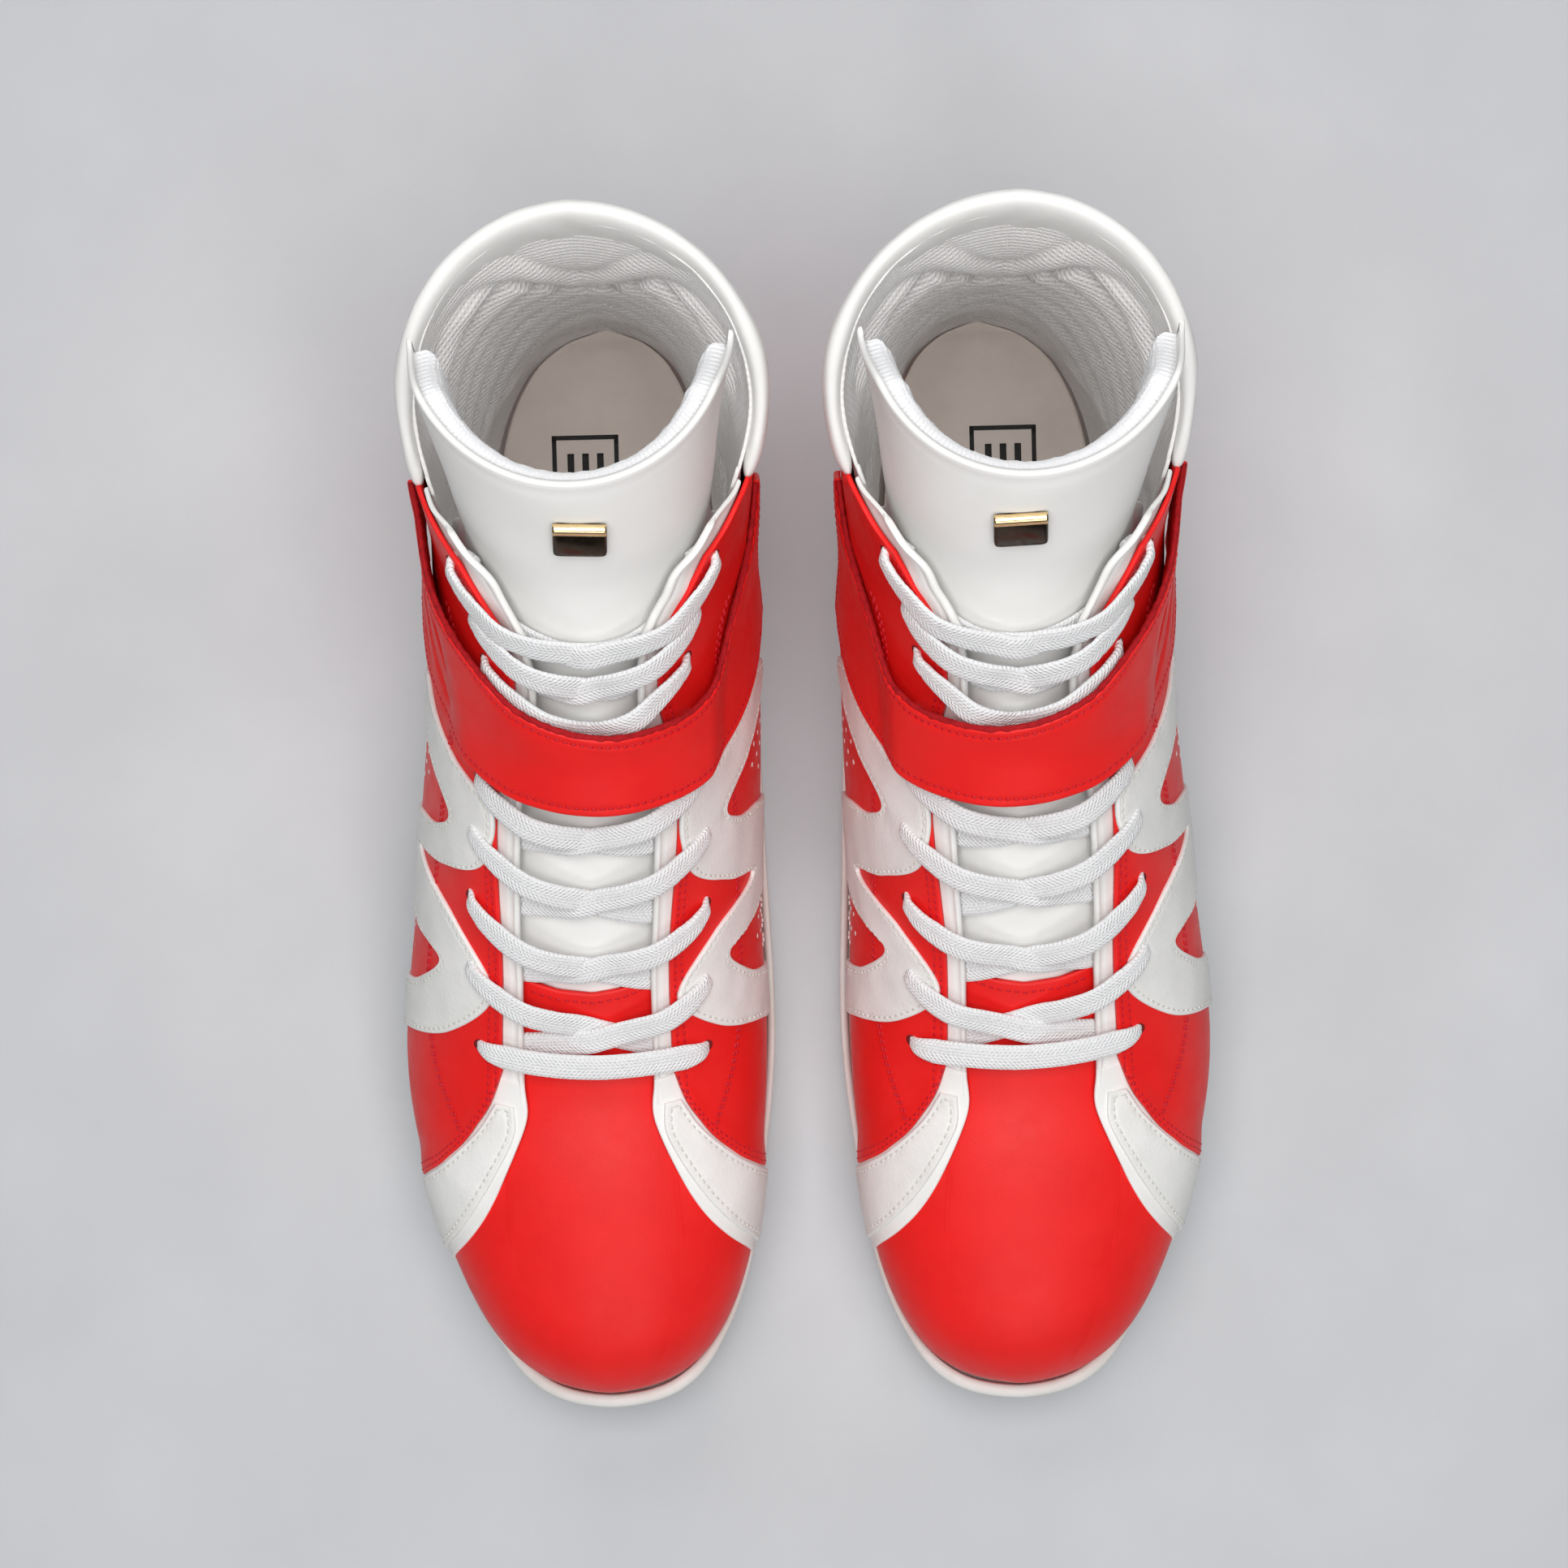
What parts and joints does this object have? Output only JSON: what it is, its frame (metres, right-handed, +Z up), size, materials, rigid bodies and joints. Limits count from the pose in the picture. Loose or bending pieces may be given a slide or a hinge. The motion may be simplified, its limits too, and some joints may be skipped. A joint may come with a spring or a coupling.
{
  "type": "boxing boots",
  "caption": "White and red leather high-top boxing boots with flat laces, padded collar, tall tongue with a metal plate, and a peel-open ankle strap",
  "frame": {"origin": "Middle of the pair on the floor, under the centre of the bounding box", "axes": "+Z up; toes point towards -Y and heels towards +Y; the wearer's right boot stands at -X and the left boot at +X"},
  "size_m": [0.219, 0.2989, 0.1775],
  "materials": {
    "rubber": "matte moulded white rubber",
    "board": "fibre board, hidden inside",
    "insole": "smooth beige cover cloth",
    "red_leather": "smooth semi-gloss red leather",
    "white_leather": "fine-grained white leather",
    "lining": "white ribbed terry lining",
    "gilt_metal": "polished gilt",
    "hook_and_loop": "red hook-and-loop tape",
    "lace_cotton": "flat woven white cotton"
  },
  "bodies": {
    "right_boot": {"right_outsole": "rubber", "right_midsole": "rubber", "right_toe_bumper": "rubber", "right_insole_board": "board", "right_sockliner": "insole", "right_heel_counter": "board", "right_toe_puff": "board", "right_vamp": "red_leather", "right_vamp_lining": "lining", "right_toe_wing_lateral": "white_leather", "right_toe_wing_medial": "white_leather", "right_quarter_lateral": "red_leather", "right_quarter_medial": "red_leather", "right_facing_lateral": "white_leather", "right_facing_medial": "white_leather", "right_lining_lateral": "lining", "right_lining_medial": "lining", "right_side_band_lateral": "white_leather", "right_side_band_medial": "white_leather", "right_heel_panel": "white_leather", "right_collar": "white_leather", "right_tongue_body": "white_leather", "right_strap_base": "red_leather", "right_strap_hook_pad": "hook_and_loop", "right_lace": "lace_cotton"},
    "right_tongue": {"right_tongue_top": "white_leather", "right_tongue_badge": "gilt_metal"},
    "right_flap": {"right_strap_flap": "red_leather", "right_strap_loop_pad": "hook_and_loop"},
    "left_boot": {"left_outsole": "rubber", "left_midsole": "rubber", "left_toe_bumper": "rubber", "left_insole_board": "board", "left_sockliner": "insole", "left_heel_counter": "board", "left_toe_puff": "board", "left_vamp": "red_leather", "left_vamp_lining": "lining", "left_toe_wing_lateral": "white_leather", "left_toe_wing_medial": "white_leather", "left_quarter_lateral": "red_leather", "left_quarter_medial": "red_leather", "left_facing_lateral": "white_leather", "left_facing_medial": "white_leather", "left_lining_lateral": "lining", "left_lining_medial": "lining", "left_side_band_lateral": "white_leather", "left_side_band_medial": "white_leather", "left_heel_panel": "white_leather", "left_collar": "white_leather", "left_tongue_body": "white_leather", "left_strap_base": "red_leather", "left_strap_hook_pad": "hook_and_loop", "left_lace": "lace_cotton"},
    "left_tongue": {"left_tongue_top": "white_leather", "left_tongue_badge": "gilt_metal"},
    "left_flap": {"left_strap_flap": "red_leather", "left_strap_loop_pad": "hook_and_loop"}
  },
  "joints": [
    {"name": "left_boot_slide", "type": "slide", "parent": "right_boot", "child": "left_boot", "axis": [1, 0, 0], "range_m": [0, 0.12]},
    {"name": "right_tongue_flex", "type": "hinge", "parent": "right_boot", "child": "right_tongue", "pos_m": [-0.0498, 0.0635, 0.1406], "axis": [1, 0, 0], "range_deg": [-5, 40]},
    {"name": "right_strap_peel", "type": "hinge", "parent": "right_boot", "child": "right_flap", "pos_m": [-0.07331, 0.02767, 0.11632], "axis": [0.0103, 0.8215, 0.5702], "range_deg": [0, 75]},
    {"name": "left_tongue_flex", "type": "hinge", "parent": "left_boot", "child": "left_tongue", "pos_m": [0.0498, 0.0635, 0.1406], "axis": [1, 0, 0], "range_deg": [-5, 40]},
    {"name": "left_strap_peel", "type": "hinge", "parent": "left_boot", "child": "left_flap", "pos_m": [0.07331, 0.02767, 0.11632], "axis": [0.0103, -0.8215, -0.5702], "range_deg": [0, 75]}
  ]
}
